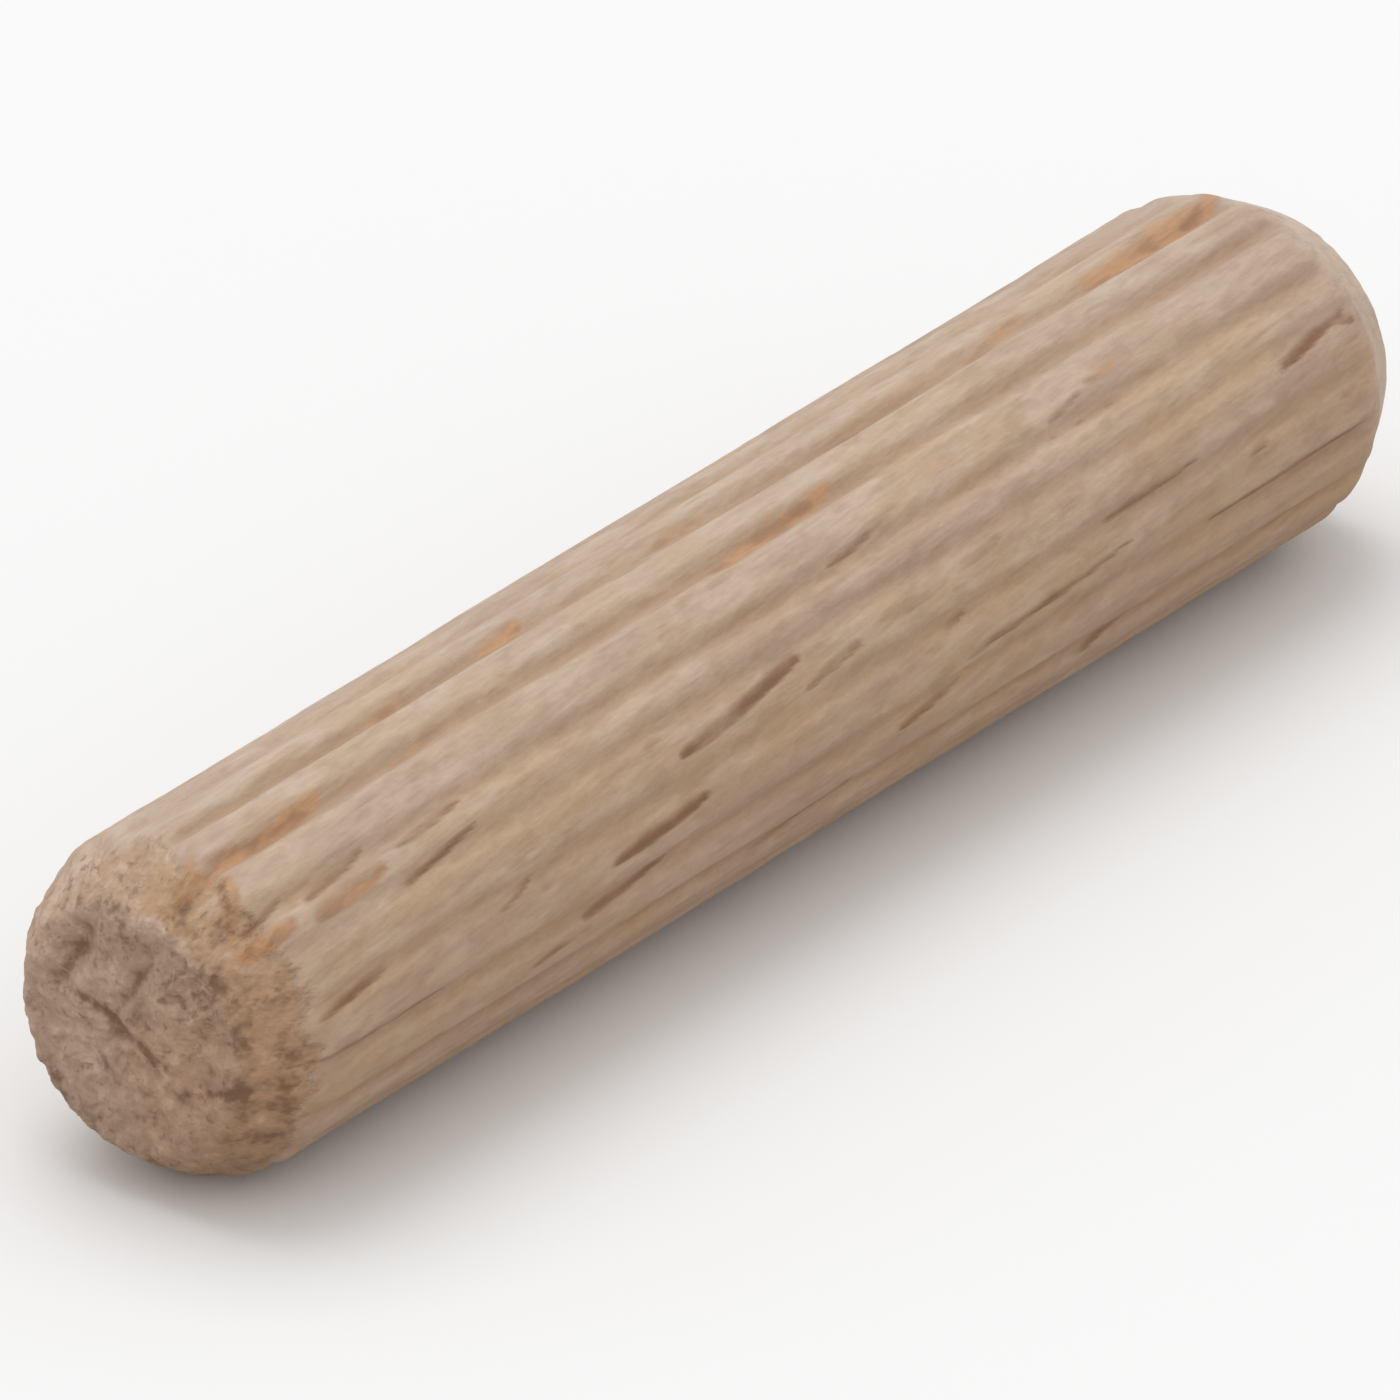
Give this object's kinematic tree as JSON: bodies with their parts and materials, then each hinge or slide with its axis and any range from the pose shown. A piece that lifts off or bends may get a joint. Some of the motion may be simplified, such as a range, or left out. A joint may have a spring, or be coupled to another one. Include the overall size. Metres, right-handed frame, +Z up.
{
  "type": "fluted dowel pin",
  "caption": "Straight turned wooden pin with pressed flutes along its shank and a cone at each end, glued into drilled holes to join two boards.",
  "frame": {"origin": "under the middle of the pin, on the surface that it lies on", "axes": "+X along the pin, +Z up; a flute faces straight down and the pin rests on the two ridges beside it"},
  "size_m": [0.04, 0.008, 0.008],
  "materials": {
    "beech": "bare, unsanded turned wood with compressed flutes and sawn ends"
  },
  "bodies": {
    "root": {"dowel_pin": "beech"}
  },
  "joints": []
}
